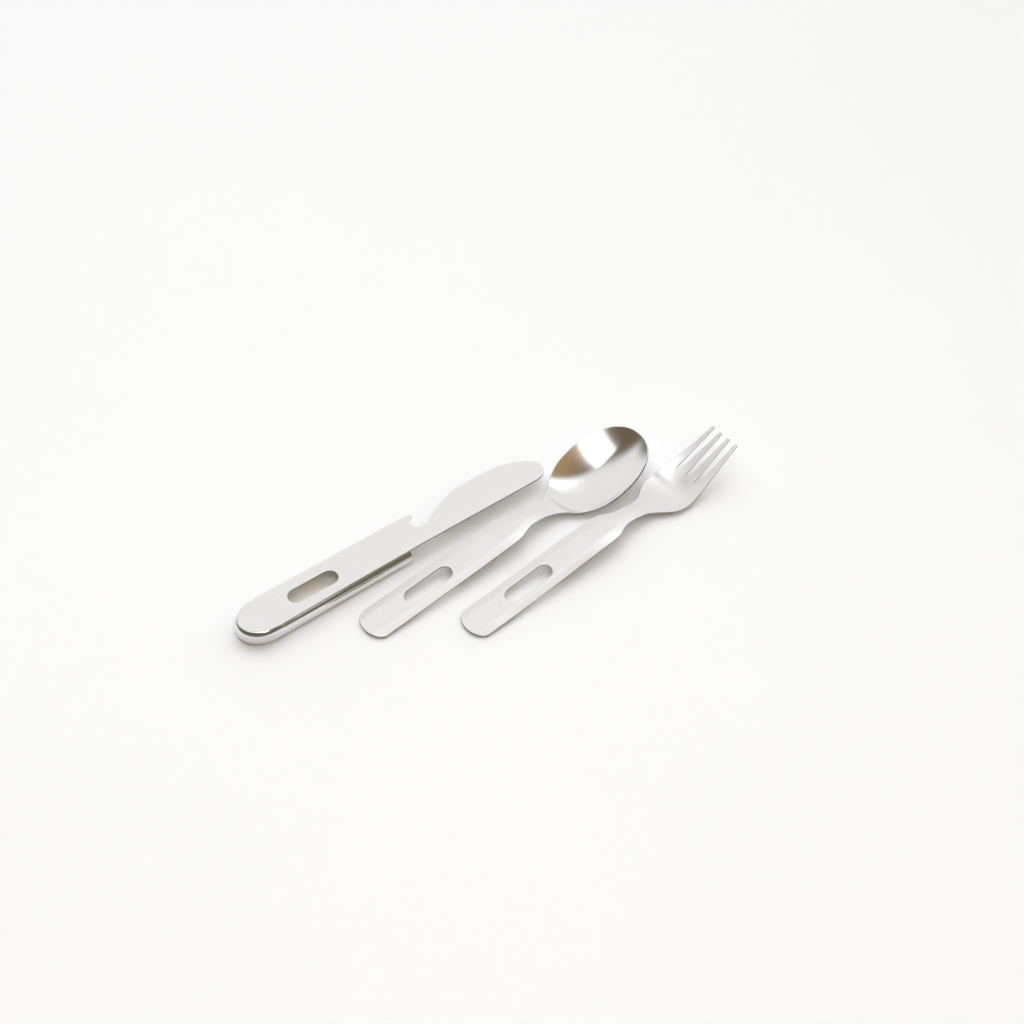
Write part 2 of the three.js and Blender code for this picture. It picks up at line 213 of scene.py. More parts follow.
def largest_patch(triangles):
    """The triangles of the largest set that is joined by shared sides."""
    at_side = {}
    for k, (a, b, c) in enumerate(triangles):
        for side in ((a, b), (b, c), (c, a)):
            at_side.setdefault(frozenset(side), []).append(k)
    beside = [set() for _ in triangles]
    for users in at_side.values():
        for k in users:
            beside[k].update(users)
    left, best = set(range(len(triangles))), []
    while left:
        found = [left.pop()]
        for k in found:
            fresh = beside[k] & left
            left -= fresh
            found.extend(fresh)
        best = max(best, found, key=len)
    return [triangles[k] for k in sorted(best)]


def thick_sheet(name, points, normals, faces, thickness, edge):
    """Closed object of a sheet under the given surface, with its cut edges rounded to a radius.

    The surface ends where the rounding starts, so the piece stands edge wider all round. The cut
    attribute is 1 on the side of the sheet and fades to 0 where the rounding meets its faces; the finish
    paints shade there.
    """
    count = len(points)
    all_points = [points, points - thickness * normals]
    all_normals = [normals, -normals]
    all_faces = [tuple(f) for f in faces] + [tuple(count + i for i in reversed(f)) for f in faces]
    total = 2 * count
    cut = [0.0] * total
    arc_steps, cut_power = 4, 4
    for loop in boundary_loops(faces):
        p, n = points[loop], normals[loop]
        tangent = np.roll(p, -1, 0) - np.roll(p, 1, 0)
        outward = np.cross(tangent, n)
        outward /= np.linalg.norm(outward, axis=1)[:, None]
        rings = [np.array(loop)]
        turns = [(k / arc_steps) * math.pi / 2 for k in range(1, arc_steps + 1)]
        upper = [(a, edge * (1 - math.cos(a)), math.cos(a)) for a in turns]
        lower = [(a, thickness - edge * (1 - math.cos(a)), -math.cos(a)) for a in reversed(turns)]
        for angle, depth, rise in upper + lower:
            all_points.append(p + outward * edge * math.sin(angle) - n * depth)
            all_normals.append(outward * math.sin(angle) + n * rise)
            cut += [math.sin(angle) ** cut_power] * len(loop)
            rings.append(total + np.arange(len(loop)))
            total += len(loop)
        rings.append(count + np.array(loop))
        for a, b in zip(rings, rings[1:]):
            for k in range(len(loop)):
                j = (k + 1) % len(loop)
                all_faces.append((int(a[j]), int(a[k]), int(b[k]), int(b[j])))
    piece = mesh_object(name, np.vstack(all_points), np.vstack(all_normals), all_faces)
    piece.data.attributes.new("cut", "FLOAT", "POINT").data.foreach_set("value", cut)
    piece["rim_starts"] = 2 * count
    return piece


def mesh_object(name, points, normals, faces):
    """Smooth object of points in millimetres, shaded by the given normals."""
    mesh = bpy.data.meshes.new(name)
    mesh.from_pydata((points * MM).tolist(), [], faces)
    mesh.polygons.foreach_set("use_smooth", [True] * len(mesh.polygons))
    unit = normals / np.linalg.norm(normals, axis=1)[:, None]
    mesh.normals_split_custom_set_from_vertices(unit.tolist())
    piece = bpy.data.objects.new(name, mesh)
    bpy.context.scene.collection.objects.link(piece)
    return piece


def pressed_piece(name, outline, holes, grid, height, thickness, edge):
    """Sheet cut to an outline with holes and pressed to height(x, y) at its upper face.

    grid holds the points of the smooth interior; those too near a cut edge are left out.
    """
    cuts = [inside_by(outline, edge)] + [inside_by(hole, -edge) for hole in holes]
    supports = [inside_by(cuts[0], EDGE_BAND)] + [inside_by(cut, -EDGE_BAND) for cut in cuts[1:]]
    near = KDTree(sum(len(s) for s in supports))
    for i, p in enumerate(np.vstack(supports)):
        near.insert((p[0], p[1], 0), i)
    near.balance()
    clear = [p for p in grid if near.find((p[0], p[1], 0))[2] > EDGE_CLEAR]
    clear = [p for p in clear if is_inside(p, supports)]
    coords, edges = [], []
    for loop in cuts + supports:
        first = len(coords)
        coords += [Vector(p) for p in loop]
        edges += [(first + k, first + (k + 1) % len(loop)) for k in range(len(loop))]
    coords += [Vector(p) for p in clear]
    merge_within = 1e-5
    flat, _, triangles, _, _, _ = delaunay_2d_cdt(coords, edges, [], 0, merge_within)
    flat = np.array([tuple(p) for p in flat])
    kept = largest_patch([t for t in triangles if is_inside(flat[list(t)].mean(0), cuts)])
    used = sorted({i for t in kept for i in t})
    renumber = {old: new for new, old in enumerate(used)}
    kept = [tuple(renumber[i] for i in t) for t in kept]
    flat = flat[used]
    surface = np.column_stack([flat, height(flat[:, 0], flat[:, 1])])
    return thick_sheet(name, surface, gradient_normals(flat, height), kept, thickness, edge)


def is_inside(point, loops):
    """Whether a point is inside the first loop and outside the others, by crossings."""
    crossings = 0
    x, y = point
    for loop in loops:
        a, b = loop, np.roll(loop, -1, 0)
        spans = (a[:, 1] > y) != (b[:, 1] > y)
        a, b = a[spans], b[spans]
        at = a[:, 0] + (y - a[:, 1]) * (b[:, 0] - a[:, 0]) / (b[:, 1] - a[:, 1])
        crossings += int((at > x).sum())
    return crossings % 2 == 1


def strip_grid(xs, half, columns):
    """Rows of points across a strip whose half width is half(x)."""
    shares = np.linspace(-1, 1, columns)
    return [(x, share * float(half(x))) for x in xs for share in shares]


# ---------------------------------------------------------------- knife
def knife_outline():
    """Anticlockwise from the butt: spine, tip, belly, bottle-opener notch and hook, handle, butt."""
    tip_x = BLADE_TIP[0]
    hook = np.array(HOOK)
    butt_end, spine_start = (KNIFE_ARC, BUTT_NEAR), (SPINE_START, SPINE)
    middle, half = (BUTT_NEAR + BUTT_FAR) / 2, (BUTT_FAR - BUTT_NEAR) / 2
    return np.vstack([
        bezier(butt_end, (KNIFE_ARC + 37, BUTT_NEAR + 0.9), (SPINE_START - 37, SPINE), spine_start, 60),
        line(spine_start, (tip_x - 9, SPINE), 20),
        bezier((tip_x - 9, SPINE), (tip_x - 3, SPINE), (tip_x, -6), BLADE_TIP, 24),
        bezier(BLADE_TIP, (tip_x, 5), (BELLY_TO + 8, 11), (BELLY_TO, 11.3), 40),
        bezier((BELLY_TO, 11.3), (BELLY_TO - 6, 12.1), (BELLY_FROM + 6, 12.1), (BELLY_FROM, BELLY_Y), 24),
        bezier((BELLY_FROM, BELLY_Y), (BELLY_FROM - 6, 10.8), (RAMP[0] + 6, RAMP[1] + 3.1), RAMP, 24),
        bezier(RAMP, (RAMP[0] - 4, RAMP[1] - 2.1), (NOTCH[0] + 4, NOTCH[1]), NOTCH, 16),
        bezier(NOTCH, (NOTCH[0] - 4.5, NOTCH[1]), (NOTCH[0] - 6, 4.5), hook - (3.5, 2.8), 20),
        line(hook - (3.5, 2.8), hook - (0.9, 0.6), 8),
        bezier(hook - (0.9, 0.6), hook - (0.1, 0.05), hook - (0.3, -0.02), hook - (1.5, -0.05), 8),
        bezier(hook - (1.5, -0.05), hook - (5, -0.8), (FAR_END + 5, BUTT_FAR), (FAR_END, BUTT_FAR), 24),
        line((FAR_END, BUTT_FAR), (KNIFE_ARC, BUTT_FAR), 60),
        arc((KNIFE_ARC, middle), (KNIFE_ARC, half), 90, 270, 64),
    ])


def knife_blade():
    """The knife's plate: blade, bottle-opener hook and slotted handle in one flat sheet."""
    def flat(x, _):
        return np.full(np.shape(x), KNIFE_TOP)

    spacing = 3.0
    grid = [(x, y) for x in np.arange(3, 190, spacing) for y in np.arange(-9, 11, spacing)]
    outline = even(knife_outline(), 0.35)
    slot = slot_loop(*KNIFE_SLOT)
    return pressed_piece("knife_plate", outline, [slot], grid, flat, PLATE, PLATE_EDGE)


def knife_sleeve():
    """Tray whose wall runs from the mouth round the butt and back, drawn as its outer surface."""
    plate_outline = even(knife_outline(), 0.2)
    side_steps, turn_steps = 120, 120
    turn = np.radians(np.linspace(-90, -270, turn_steps + 1))
    shares = np.linspace(1, 0, side_steps, endpoint=False)
    stations = [(s, -1) for s in shares] + [(a, 0) for a in turn] + [(s, 1) for s in shares[::-1]]
    straight = SLEEVE_MOUTH - SHEET_EDGE - SLEEVE_ARC
    rows = []
    for at, hand in stations:
        share = at if hand else 0.0
        reach = share * straight if hand else SLEEVE_NOSE * math.cos(at)
        middle = share * MOUTH_SHIFT
        half = SLEEVE_HALF + (MOUTH_HALF - SLEEVE_HALF) * share
        outer = (SLEEVE_ARC + reach, middle + (hand * half if hand else half * math.sin(at)))
        gap = float(np.hypot(*(plate_outline - outer).T).min())
        row = []
        for inset, height in sleeve_section(outer[0], share, gap):
            if hand:
                along = share * (straight - corner_cut(height))
                across = 0 if inset is None else middle + hand * (half - inset)
                row.append((SLEEVE_ARC + along, across, height))
            elif inset is None:
                row.append((SLEEVE_ARC, 0, height))
            else:
                across = (half - inset) * math.sin(at)
                row.append((SLEEVE_ARC + (SLEEVE_NOSE - inset) * math.cos(at), across, height))
        rows.append(row)
    return sheet_from_rows("knife_sleeve_shell", rows, SLEEVE_WALL, SHEET_EDGE)


def corner_cut(height):
    """How much shorter the sleeve is at a height: its lower corners at the mouth are rounded."""
    rise = np.clip((MOUTH_ROUND - height) / MOUTH_ROUND, 0, 1)
    return float(MOUTH_ROUND * (1 - math.sqrt(1 - rise * rise)))


def sleeve_section(x, share, gap):
    """(distance in from the outer face, height) from the lip down to the middle of the floor.

    None stands for the middle of the floor. Round the butt the lip fills the gap beside the plate
    and is flush with it; along the sides it drops under the plate and curls in further and
    further towards the mouth, which is at share 1.
    """
    drop = np.clip((x - LIP_DROP_FROM) / LIP_DROP_RUN, 0, 1)
    drop = float(drop * drop * (3 - 2 * drop))
    side_from = SIDE_CURL[0] + (MOUTH_CURL[0] - SIDE_CURL[0]) * share
    from_height = BUTT_CURL_FROM + (side_from - BUTT_CURL_FROM) * drop
    rise = KNIFE_TOP - from_height
    snug = gap - SEAM - SHEET_EDGE
    side_reach = SIDE_CURL[1] + (MOUTH_CURL[1] - SIDE_CURL[1]) * share
    reach = snug + (side_reach - snug) * drop
    low = math.asin((SLEEVE_LIP - SHEET_EDGE - from_height) / rise)
    top = math.pi / 2 + (low - math.pi / 2) * drop
    power = CURL_POWER - CURL_POWER_FALL * drop
    curl_points, wall_points, foot_points = 18, 6, 11
    section = []
    for angle in np.linspace(top, 0, curl_points):
        inset = reach * (1 - max(math.cos(angle), 0) ** power)
        section.append((inset, from_height + rise * math.sin(angle) ** power))
    for height in np.linspace(from_height, FOOT_ROUND, wall_points)[1:-1]:
        section.append((0.0, height))
    for angle in np.radians(np.linspace(0, 90, foot_points)):
        section.append((FOOT_ROUND * (1 - math.cos(angle)), FOOT_ROUND * (1 - math.sin(angle))))
    section += [(FOOT_ROUND + 2.5, 0.0), (FOOT_ROUND + 5, 0.0), (None, 0.0)]
    return section


def sheet_from_rows(name, rows, thickness, edge):
    """Thick sheet of a grid of surface points, whose coinciding points are joined."""
    index, points, ids = {}, [], []
    for row in rows:
        line_ids = []
        for p in row:
            key = tuple(round(c, 4) for c in p)
            if key not in index:
                index[key] = len(points)
                points.append(p)
            line_ids.append(index[key])
        ids.append(line_ids)
    faces = []
    for a, b in zip(ids, ids[1:]):
        for j in range(len(a) - 1):
            face = []
            for i in (a[j], b[j], b[j + 1], a[j + 1]):
                if i not in face:
                    face.append(i)
            if len(face) > 2:
                faces.append(tuple(face))
    points = np.array(points)
    normals = np.zeros_like(points)
    for face in faces:
        p = points[list(face)]
        normal = sum(np.cross(p[k] - p[0], p[k + 1] - p[0]) for k in range(1, len(face) - 1))
        normals[list(face)] += normal
    normals /= np.linalg.norm(normals, axis=1)[:, None]
    return thick_sheet(name, points, normals, faces, thickness, edge)


# ---------------------------------------------------------------- spoon and fork
def butt_then(outline):
    """Half width along a piece: the round butt first, and then an outline."""
    def half(x):
        x = np.asarray(x, float)
        butt = np.sqrt(np.clip(1 - ((BUTT_ARC - np.minimum(x, BUTT_ARC)) / BUTT_ARC) ** 2, 0, 1))
        return np.where(x < BUTT_ARC, HANDLE_HALF * butt, outline(x))

    return half


bevel_drop = curve([(2, 0.95), (94, 0.95), (110, 0.7), (124, 0.4), (130, 0)])


def edge_drop(x, y, half):
    """How far the sheet dips towards the edges of a handle, past a crease along each side."""
    side = half(np.maximum(x, BUTT_ARC))
    past = np.clip((np.abs(y) - side + BEVEL_WIDTH) / BEVEL_WIDTH, 0, 1)
    return bevel_drop(x) * past**BEVEL_POWER


def mirrored_loop(xs, half):
    """Anticlockwise outline of a strip that closes to a point at both ends of xs."""
    lower = np.stack([xs, -half(xs)], 1)
    upper = np.stack([xs[::-1], half(xs[::-1])], 1)[1:-1]
    return np.vstack([lower, upper])


spoon_shank = butt_then(curve([
    (BUTT_ARC, HANDLE_HALF), (50, 10.3), (90, 9.9), (97.5, 9.5), (101, 8.7), (104.5, 7.2), (108, 6.1),
    (112.5, 5.7), (120.5, 5.8), (126.5, 6.6), (131.5, 9.1), (136.5, 12.9), (142.5, 16.9), (150.5, 20.1),
    (BOWL_CENTRE, BOWL_HALF),
]))
spoon_side = curve([
    (0, 1.82), (9.5, 2.8), (29.5, 4.3), (59.5, 6.4), (95.5, 9), (104.5, 9), (113.5, 8.4), (120.5, 7.2),
    (129.5, 4.5), (139.5, 4.85), (193.5, 18.4),
])


def spoon_half(x):
    """Half width of the spoon, which ends in a superellipse."""
    x = np.asarray(x, float)
    along = np.clip((x - BOWL_CENTRE) / (SPOON_LENGTH - BOWL_CENTRE), 0, 1)
    tip = BOWL_HALF * (1 - along**BOWL_FULLNESS) ** (1 / BOWL_FULLNESS)
    return np.where(x > BOWL_CENTRE, tip, spoon_shank(x))


def spoon_height(x, y):
    """Upper face of the spoon: its side profile, less the bowl's hollow and the bevels."""
    x, y = np.asarray(x, float), np.asarray(y, float)
    reach = np.where(x < BOWL_CENTRE, BOWL_BACK, SPOON_LENGTH - BOWL_CENTRE)
    radius = (np.abs((x - BOWL_CENTRE) / reach) ** BOWL_FULLNESS
              + np.abs(y / BOWL_HALF) ** BOWL_FULLNESS)
    hollow = BOWL_DEPTH * np.clip(1 - radius, 0, None)
    return spoon_side(x) - hollow - edge_drop(x, y, spoon_half)


def end_run(start, end, steps):
    """Places from start to end, closer together towards the end, where an outline turns in."""
    return start + (end - start) * np.sin(np.linspace(0, math.pi / 2, steps))


def spoon():
    """One pressing, with finer rows of points in its bowl."""
    xs = np.concatenate([
        end_run(BUTT_ARC, 0, 40)[::-1],
        np.arange(BUTT_ARC + OUTLINE_STEP, BOWL_CENTRE, OUTLINE_STEP),
        end_run(BOWL_CENTRE, SPOON_LENGTH, 90),
    ])
    outline = even(mirrored_loop(xs, spoon_half), OUTLINE_STEP)
    bowl_from, bowl_rows, bowl_columns = 118, 0.8, 45
    grid = strip_grid(np.arange(1.0, bowl_from, HANDLE_ROWS), spoon_half, HANDLE_COLUMNS)
    bowl_xs = np.arange(bowl_from, SPOON_LENGTH - 0.4, bowl_rows)
    grid += strip_grid(bowl_xs, spoon_half, bowl_columns)
    slot = slot_loop(*HANDLE_SLOT)
    return pressed_piece("spoon_pressing", outline, [slot], grid, spoon_height, SHEET, SHEET_EDGE)


fork_half = butt_then(curve([
    (BUTT_ARC, HANDLE_HALF), (50, 10.3), (90, 9.9), (96.5, 9.5), (100.5, 8.7), (103.5, 7.1), (107, 5.8),
    (111.5, 5.3), (118.5, 5.3), (123.5, 5.9), (128.5, 8.1), (132.5, 10.8), (137.5, 13.4), (143.5, 14.5),
    (149.5, 14.3), (156.5, 13.4), (169.5, 11.4), (180.5, 10), (FORK_LENGTH, 9.8),
]))
fork_side = curve([
    (0, 1.82), (9.5, 2.65), (25.5, 3.5), (59.5, 6.5), (85.5, 9), (103.5, 9.1), (113.5, 8), (120.5, 6.8),
    (130.5, 3.4), (140.5, 1.4), (147.5, 2.0), (156.5, 5.7), (169.5, 11.8), (FORK_LENGTH, 18.9),
])
fork_crease = curve([(115.6, 0), (117, 0.5), (133, 0)])
fork_dish = curve([(127.5, 0), (139.5, 1.3), (151.5, 1.2), (165.5, 0.3), (171.5, 0)])


def fork_height(x, y):
    """Upper face of the fork: its side profile, creased at the neck and dished across the head."""
    share = np.clip(np.abs(y) / np.maximum(fork_half(x), 1), 0, 1)
    return fork_side(x) - fork_crease(x) + fork_dish(x) * share**2 - edge_drop(x, y, fork_half)


def fork_outline():
    """Anticlockwise from the butt: lower side, tines and gaps from the lowest up, upper side."""
    tip_x = FORK_LENGTH - TINE_TIP_HALF
    side = np.arange(BUTT_ARC + OUTLINE_STEP, tip_x - 8, OUTLINE_STEP)
    handle = np.concatenate([end_run(BUTT_ARC, 0, 40)[::-1], side])
    lower = np.stack([handle, -fork_half(handle)], 1)
    parts = [lower]
    last = lower[-1]
    for k in range(4):
        centre = (k - 1.5) * TIP_PITCH
        parts.append(line(last, (tip_x, centre - TINE_TIP_HALF), 14))
        parts.append(arc((tip_x, centre), (TINE_TIP_HALF, TINE_TIP_HALF), -90, 90, 12))
        if k < 3:
            root = (k - 1) * ROOT_PITCH
            parts.append(line((tip_x, centre + TINE_TIP_HALF), (TINE_ROOT, root - ROOT_GAP), 50))
            parts.append(arc((TINE_ROOT, root), (ROOT_GAP, ROOT_GAP), 270, 90, 12))
            last = (TINE_ROOT, root + ROOT_GAP)
    upper = np.stack([handle[::-1], fork_half(handle[::-1])], 1)
    parts.append(line((tip_x, 1.5 * TIP_PITCH + TINE_TIP_HALF), upper[0], 14))
    parts.append(upper[:-1])
    return np.vstack(parts)


def fork():
    """One pressing, with finer rows of points at the crease and in its head."""
    outline = even(fork_outline(), 0.5)
    head_columns = 27
    handle_xs = np.arange(1.0, 114, HANDLE_ROWS)
    crease_xs = np.arange(114.5, 118.4, 0.35)
    grid = strip_grid(handle_xs, fork_half, HANDLE_COLUMNS)
    grid += strip_grid(crease_xs, fork_half, HANDLE_COLUMNS)
    grid += strip_grid(np.arange(119, TINE_ROOT, 1.0), fork_half, head_columns)
    grid += strip_grid(np.arange(TINE_ROOT, FORK_LENGTH - 1, 0.8), fork_half, head_columns)
    slot = slot_loop(*HANDLE_SLOT)
    return pressed_piece("fork_pressing", outline, [slot], grid, fork_height, SHEET, SHEET_EDGE)


# ---------------------------------------------------------------- attributes that the finishes read
# Millimetres from a cut edge over which its wear fades
WEAR_REACH = 0.5
# Where along X the spoon's polish starts, and how far it takes to be full
POLISH_FROM, POLISH_RUN = 112, 14
# A line through the middle of the sleeve's hollow runs at this Y
HOLLOW_Y = 0.3
# How far the plate's underside may lie off its height, and how far in from the mouth it is sheltered
HAIR, MOUTH_LIGHT = 0.05, 2


def note_places(piece, polished=None, sheltered=None):
    """Stores what the finishes need to know of each point of a piece.

    place is its position in the piece's own millimetres, polish how polished it is from 0 to 1,
    shelter is 1 where the sleeve closes it in, which the finish paints pale as light, and wear is 1 at a
    cut edge and fades away from it.
    """
    mesh = piece.data
    places = np.empty(len(mesh.vertices) * 3)
    mesh.vertices.foreach_get("co", places)
    places = places.reshape(-1, 3) / MM
    share = np.zeros(len(places)) if polished is None else polished(places)
    rim = KDTree(len(places) - piece["rim_starts"])
    for i in range(piece["rim_starts"], len(places)):
        rim.insert(places[i], i)
    rim.balance()
    wear = np.array([math.exp(-rim.find(p)[2] / WEAR_REACH) for p in places])
    del piece["rim_starts"]
    mesh.attributes.new("place", "FLOAT_VECTOR", "POINT").data.foreach_set("vector", places.ravel())
    inner = np.zeros(len(places)) if sheltered is None else sheltered(places)
    for name, values in (("polish", share), ("shelter", inner), ("wear", wear)):
        mesh.attributes.new(name, "FLOAT", "POINT").data.foreach_set("value", values)


def spoon_polish(places):
    """The spoon's bowl is polished and its handle is satin."""
    share = np.clip((places[:, 0] - POLISH_FROM) / POLISH_RUN, 0, 1)
    return share * share * (3 - 2 * share)


def sleeve_outside(piece):
    """Function that tells the sleeve's polished outside from its dull inside."""
    def outside(places):
        normals = np.empty(len(places) * 3)
        piece.data.vertices.foreach_get("normal", normals)
        middle = np.array([(max(x, SLEEVE_ARC), HOLLOW_Y, KNIFE_TOP / 2) for x in places[:, 0]])
        return ((places - middle) * normals.reshape(-1, 3)).sum(1) > 0

    return outside


def plate_over_sleeve(places):
    """The plate's underside is sheltered over the sleeve, except close to the sleeve's mouth."""
    underside = places[:, 2] < KNIFE_TOP - PLATE + HAIR
    return underside & (places[:, 0] < SLEEVE_MOUTH - MOUTH_LIGHT)


# ---------------------------------------------------------------- finishes
def link(tree, source, target):
    tree.links.new(source, target)


def node(tree, kind, **values):
    """New node whose sockets and settings have the given values."""
    made = tree.nodes.new(kind)
    for name, value in values.items():
        if name in made.inputs:
            made.inputs[name].default_value = value
        else:
            setattr(made, name, value)
    return made


def ranged(tree, source, low, high, to_low, to_high):
    """A value's span mapped onto another span."""
    mapped = node(tree, "ShaderNodeMapRange")
    for name, value in (("From Min", low), ("From Max", high), ("To Min", to_low), ("To Max", to_high)):
        mapped.inputs[name].default_value = value
    link(tree, source, mapped.inputs["Value"])
    return mapped.outputs["Result"]


def math_node(tree, operation, a, b):
    """Result of an operation on two numbers, each given as a value or as another node's output."""
    made = node(tree, "ShaderNodeMath", operation=operation)
    for socket, value in zip(made.inputs, (a, b)):
        if isinstance(value, (int, float)):
            socket.default_value = value
        else:
            link(tree, value, socket)
    return made.outputs[0]


def dot(tree, vector, axis):
    """How far a vector points along an axis."""
    made = node(tree, "ShaderNodeVectorMath", operation="DOT_PRODUCT")
    link(tree, vector, made.inputs[0])
    made.inputs[1].default_value = axis
    return made.outputs["Value"]


def mixed(tree, factor, a, b):
    """Mix of two colours, each given as a value or as another node's output."""
    made = node(tree, "ShaderNodeMix", data_type="RGBA", clamp_factor=True)
    link(tree, factor, made.inputs["Factor"])
    for socket, colour in ((made.inputs[6], a), (made.inputs[7], b)):
        if isinstance(colour, tuple):
            socket.default_value = colour
        else:
            link(tree, colour, socket)
    return made.outputs[2]


def noise(tree, place, stretch, detail, roughness=0.55):
    """Noise over the piece's own millimetres, finer where stretch is larger."""
    scaled = node(tree, "ShaderNodeVectorMath", operation="MULTIPLY")
    link(tree, place, scaled.inputs[0])
    scaled.inputs[1].default_value = stretch
    made = node(tree, "ShaderNodeTexNoise", Scale=1.0, Detail=detail, Roughness=roughness)
    link(tree, scaled.outputs[0], made.inputs["Vector"])
    return made.outputs["Fac"]


# Colours of steel in general and where it is worn bare, then painted shade for the cut sides and painted
# light for the sheltered hollow
STEEL, WARM_STEEL = (0.81, 0.813, 0.82, 1), (0.80, 0.79, 0.79, 1)
BARE_STEEL, CUT_PAINTED_SHADE = (0.86, 0.86, 0.855, 1), (0.30, 0.285, 0.24, 1)
# painted light: a pale, matt colour for the sleeve's inside and the plate's underside over it,
# brightening that hollow
HOLLOW_PAINTED_LIGHT = (0.97, 0.945, 0.90, 1)
# How far the worn places take on their colour and the cut sides take on the painted shade
WEAR_SHARE, CUT_SHADE_SHARE = 0.5, 0.9
# Stretches of the noises: brushed grain and its fine lines along X, clouds of tone, and nicks
GRAIN, FINE_GRAIN = (0.10, 9.0, 9.0), (0.9, 30.0, 30.0)
CLOUDS, NICKS = (0.035, 0.08, 0.08), (0.7, 0.7, 0.7)
# Depth of the brushed grain in metres, and its strength on dull and on polished steel
GRAIN_DEPTH, DULL_GRAIN, POLISHED_GRAIN = 0.00002, 0.35, 0.05


def attribute(tree, name, output="Fac"):
    """Value that note_places or thick_sheet stored under a name."""
    return node(tree, "ShaderNodeAttribute", attribute_name=name).outputs[output]


def steel_colour(tree, clouds, wear, shelter):
    """Cloudy steel, brighter where it is worn, with painted shade on the cut sides and painted light,
    pale and matt, where it is sheltered.
    """
    plain = mixed(tree, ranged(tree, clouds, 0.35, 0.65, 0.0, 1.0), STEEL, WARM_STEEL)
    worn = mixed(tree, math_node(tree, "MULTIPLY", wear, WEAR_SHARE), plain, BARE_STEEL)
    # painted shade: the sheet's cut sides are darkened to an olive brown
    cut = math_node(tree, "MULTIPLY", attribute(tree, "cut"), CUT_SHADE_SHARE)
    return mixed(tree, shelter, mixed(tree, cut, worn, CUT_PAINTED_SHADE), HOLLOW_PAINTED_LIGHT)


def steel_roughness(tree, place, grain, clouds, polish, wear, dull, bright):
    """Roughness from dull to bright, streaked and smudged less where it is polished, with nicked rims."""
    base = ranged(tree, polish, 0.0, 1.0, dull, bright)
    streaks = ranged(tree, grain, 0.3, 0.7, -0.035, 0.035)
    smudges = ranged(tree, clouds, 0.3, 0.7, -0.02, 0.03)
    less = ranged(tree, polish, 0.0, 1.0, 1.0, 0.3)
    varied = math_node(tree, "MULTIPLY", math_node(tree, "ADD", streaks, smudges), less)
    nicks = ranged(tree, noise(tree, place, NICKS, 4.0, 0.7), 0.4, 0.65, 0.0, 1.0)
    nicked = math_node(tree, "MULTIPLY", math_node(tree, "MULTIPLY", wear, nicks), 0.12)
    return math_node(tree, "ADD", math_node(tree, "ADD", base, varied), nicked)


def steel(name, dull, bright):
    """Stainless steel whose roughness runs from dull to bright by the polish attribute."""
    material = bpy.data.materials.new(name)
    material.use_nodes = True
    tree = material.node_tree
    tree.nodes.clear()
    output = node(tree, "ShaderNodeOutputMaterial")
    shader = node(tree, "ShaderNodeBsdfPrincipled", Metallic=1.0)
    link(tree, shader.outputs[0], output.inputs[0])
    place = attribute(tree, "place", "Vector")
    polish, wear, shelter = (attribute(tree, word) for word in ("polish", "wear", "shelter"))
    grain = noise(tree, place, GRAIN, 3.0)
    fine = noise(tree, place, FINE_GRAIN, 2.0)
    clouds = noise(tree, place, CLOUDS, 3.0)
    link(tree, steel_colour(tree, clouds, wear, shelter), shader.inputs["Base Color"])
    # painted light: sheltered places lose their metal so that the pale colour brightens the hollow
    link(tree, ranged(tree, shelter, 0.0, 1.0, 1.0, 0.0), shader.inputs["Metallic"])
    roughness = steel_roughness(tree, place, grain, clouds, polish, wear, dull, bright)
    link(tree, roughness, shader.inputs["Roughness"])
    bump = node(tree, "ShaderNodeBump", Distance=GRAIN_DEPTH)
    lines = math_node(tree, "ADD", grain, math_node(tree, "MULTIPLY", fine, 0.5))
    link(tree, lines, bump.inputs["Height"])
    link(tree, ranged(tree, polish, 0.0, 1.0, DULL_GRAIN, POLISHED_GRAIN), bump.inputs["Strength"])
    link(tree, bump.outputs["Normal"], shader.inputs["Normal"])
    return material


# The table's two tones, half its width and how far it lies under the cutlery, in metres
TABLE_TONES = (0.925, 0.93, 0.938, 1), (0.94, 0.945, 0.953, 1)
TABLE_HALF, TABLE_GAP = 5.0, 0.0002


def table_top():
    """Matt and pale, with faint clouds of tone and a fine speckle."""
    material = bpy.data.materials.new("pale_table")
    material.use_nodes = True
    tree = material.node_tree
    shader = tree.nodes["Principled BSDF"]
    shader.inputs["Roughness"].default_value = 0.75
    coordinates = node(tree, "ShaderNodeTexCoord").outputs["Object"]
    speck = node(tree, "ShaderNodeTexNoise", Scale=900.0, Detail=3.0)
    link(tree, coordinates, speck.inputs["Vector"])
    cloud = node(tree, "ShaderNodeTexNoise", Scale=6.0, Detail=2.0)
    link(tree, coordinates, cloud.inputs["Vector"])
    link(tree, mixed(tree, cloud.outputs["Fac"], *TABLE_TONES), shader.inputs["Base Color"])
    bump = node(tree, "ShaderNodeBump", Distance=0.0001, Strength=0.1)
    link(tree, speck.outputs["Fac"], bump.inputs["Height"])
    link(tree, bump.outputs["Normal"], shader.inputs["Normal"])
    return material


# ---------------------------------------------------------------- the table, the light and the view
# The view, in radians and metres, and how far along and across from the knife's butt it is centred
AZIMUTH, ELEVATION, DISTANCE = math.radians(36.04), math.radians(50.0), 1.3028
VIEW_ALONG, VIEW_ACROSS = 0.16374, -0.01366
# The lens's focal length and the sensor's width, in millimetres
LENS, SENSOR = 84.375, 36.0
FAR_SIDE = Vector((math.sin(AZIMUTH), math.cos(AZIMUTH), 0))
RIGHT_SIDE = Vector((math.cos(AZIMUTH), -math.sin(AZIMUTH), 0))

PLAIN_VIEW = (0.93, 0.93, 0.93, 1)
BACKDROP_LOW, BACKDROP_HIGH = (0.96, 0.95, 0.93, 1), (1.85, 1.88, 1.94, 1)
ROOM_LEFT, ROOM_RIGHT = (0.15, 0.10, 0.058, 1), (0.42, 0.28, 0.14, 1)
ROOM_LOW = (0.17, 0.155, 0.11, 1)
# Where the backdrop ends, in degrees up from the far horizon and on over the table, and how softly
BACKDROP_END, BACKDROP_FADE = 77, 5
